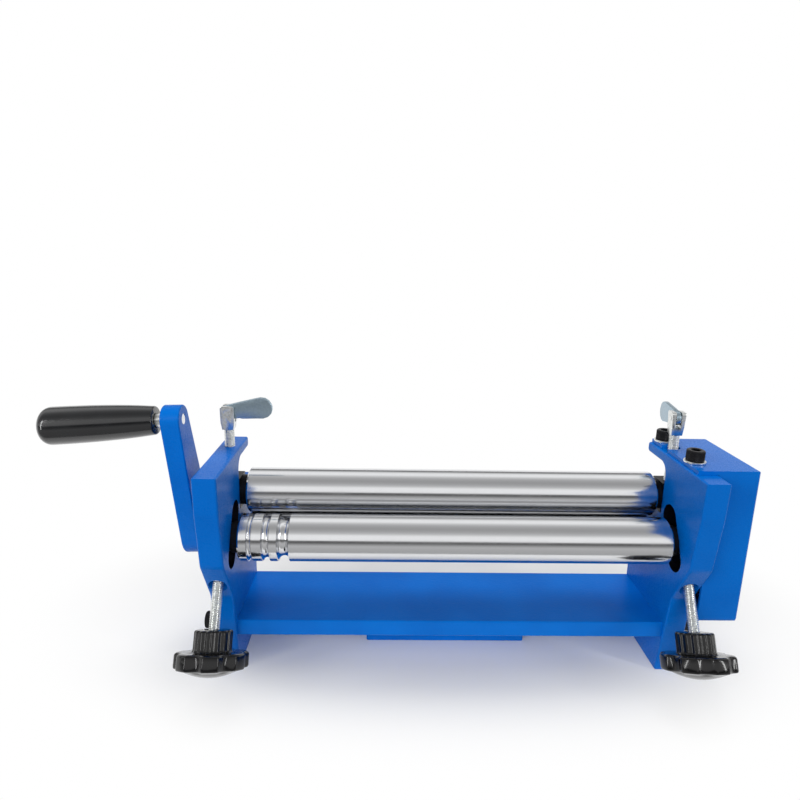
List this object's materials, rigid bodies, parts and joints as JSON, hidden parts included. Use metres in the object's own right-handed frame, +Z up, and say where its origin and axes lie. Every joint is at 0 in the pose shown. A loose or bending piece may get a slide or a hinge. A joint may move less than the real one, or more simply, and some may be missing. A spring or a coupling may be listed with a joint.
{
  "type": "slip roll machine",
  "caption": "Hand-cranked bench slip roll with pinch rollers, a bending roller with wire grooves, knob screws, wing screws and a gear cover.",
  "frame": {"origin": "centre of the vise block's underside, on the bench plane, midway between the end frames", "axes": "+X along the rollers towards the gear cover, +Y from the bending roller to the pinch rollers, +Z up"},
  "size_m": [0.5183, 0.1404, 0.2134],
  "materials": {
    "blue_enamel": "gloss enamel with a slight orange peel",
    "ground_steel": "ground and polished",
    "black_plastic": "gloss moulded",
    "zinc_steel": "bright zinc plated",
    "lever_steel": "satin",
    "black_oxide": "black oxide",
    "gear_steel": "machined, oiled",
    "bronze": "machined",
    "black_nylon": "matt"
  },
  "bodies": {
    "frame": {"left_frame": "blue_enamel", "right_frame": "blue_enamel", "base_plate": "blue_enamel", "base_bolts": "black_oxide", "base_washers": "zinc_steel", "vise_block": "blue_enamel", "vise_block_screws": "black_oxide", "lower_bush_left": "bronze", "lower_bush_right": "bronze", "gear_cover": "blue_enamel", "cover_screws": "black_oxide", "cover_washers": "zinc_steel"},
    "drive": {"lower_roller": "ground_steel", "lower_spacers": "black_nylon", "lower_gear": "gear_steel", "lower_gear_key": "gear_steel", "lower_gear_clip": "gear_steel", "crank_collar": "black_oxide", "crank_arm": "blue_enamel", "crank_set_screw": "black_oxide", "handle_spindle": "zinc_steel", "handle_collar": "zinc_steel"},
    "grip": {"handle_grip": "black_plastic"},
    "upper_carriage": {"upper_block_left": "black_oxide", "upper_block_right": "black_oxide"},
    "upper_roll": {"upper_roller": "ground_steel", "upper_spacers": "black_nylon", "upper_gear": "gear_steel", "upper_gear_key": "gear_steel", "upper_gear_clip": "gear_steel"},
    "wing_left": {"wing_screw_left": "zinc_steel", "wing_pin_left": "zinc_steel"},
    "wing_right": {"wing_screw_right": "zinc_steel", "wing_pin_right": "zinc_steel"},
    "lever_left": {"wing_lever_left": "lever_steel"},
    "lever_right": {"wing_lever_right": "lever_steel"},
    "bending_carriage": {"bending_block_left": "black_oxide", "bending_block_right": "black_oxide"},
    "bending_roll": {"bending_roller": "ground_steel", "bending_spacers": "black_nylon"},
    "knob_left": {"knob_screw_left": "zinc_steel", "star_knob_left": "black_plastic"},
    "knob_right": {"knob_screw_right": "zinc_steel", "star_knob_right": "black_plastic"}
  },
  "joints": [
    {"name": "crank_spin", "type": "hinge", "parent": "frame", "child": "drive", "pos_m": [0, -0.0181, 0.1028], "axis": [1, 0, 0], "continuous": true},
    {"name": "handle_spin", "type": "hinge", "parent": "drive", "child": "grip", "pos_m": [-0.21496, -0.04137, 0.20123], "axis": [0.9976, 0, 0.0698], "continuous": true},
    {"name": "upper_slide", "type": "slide", "parent": "frame", "child": "upper_carriage", "axis": [0, 0, 1], "range_m": [0, 0.00057]},
    {"name": "upper_roll_spin", "type": "hinge", "parent": "upper_carriage", "child": "upper_roll", "pos_m": [0, -0.0181, 0.1382], "axis": [1, 0, 0], "continuous": true},
    {"name": "wing_left_turn", "type": "hinge", "parent": "upper_carriage", "child": "wing_left", "pos_m": [-0.1745, -0.0181, 0.18], "axis": [0, 0, 1], "range_deg": [0, 165]},
    {"name": "wing_right_turn", "type": "hinge", "parent": "upper_carriage", "child": "wing_right", "pos_m": [0.1745, -0.0181, 0.18], "axis": [0, 0, 1], "range_deg": [0, 165]},
    {"name": "lever_left_fold", "type": "hinge", "parent": "wing_left", "child": "lever_left", "pos_m": [-0.1745, -0.0181, 0.2015], "axis": [0, -1, 0], "range_deg": [-8, 164]},
    {"name": "lever_right_fold", "type": "hinge", "parent": "wing_right", "child": "lever_right", "pos_m": [0.1745, -0.0181, 0.2015], "axis": [0.9945, -0.1045, 0], "range_deg": [0, 174]},
    {"name": "bending_slide", "type": "slide", "parent": "frame", "child": "bending_carriage", "axis": [0, 0.5, 0.866], "range_m": [-0.0121, 0.0066]},
    {"name": "bending_roll_spin", "type": "hinge", "parent": "bending_carriage", "child": "bending_roll", "pos_m": [0, -0.0526, 0.1142], "axis": [1, 0, 0], "continuous": true},
    {"name": "knob_left_turn", "type": "hinge", "parent": "bending_carriage", "child": "knob_left", "pos_m": [-0.1745, -0.0826, 0.06224], "axis": [0, 0.5, 0.866], "range_deg": [-3486, 1902]},
    {"name": "knob_right_turn", "type": "hinge", "parent": "bending_carriage", "child": "knob_right", "pos_m": [0.1745, -0.0826, 0.06224], "axis": [0, 0.5, 0.866], "range_deg": [-3486, 1902]}
  ],
  "couplings": [
    {"joint": "upper_roll_spin", "follows": "crank_spin", "ratio": -1},
    {"joint": "wing_left_turn", "follows": "upper_slide", "rad_per_m": 5026.5},
    {"joint": "wing_right_turn", "follows": "upper_slide", "rad_per_m": 5026.5},
    {"joint": "knob_left_turn", "follows": "bending_slide", "rad_per_m": 5026.5},
    {"joint": "knob_right_turn", "follows": "bending_slide", "rad_per_m": 5026.5}
  ]
}
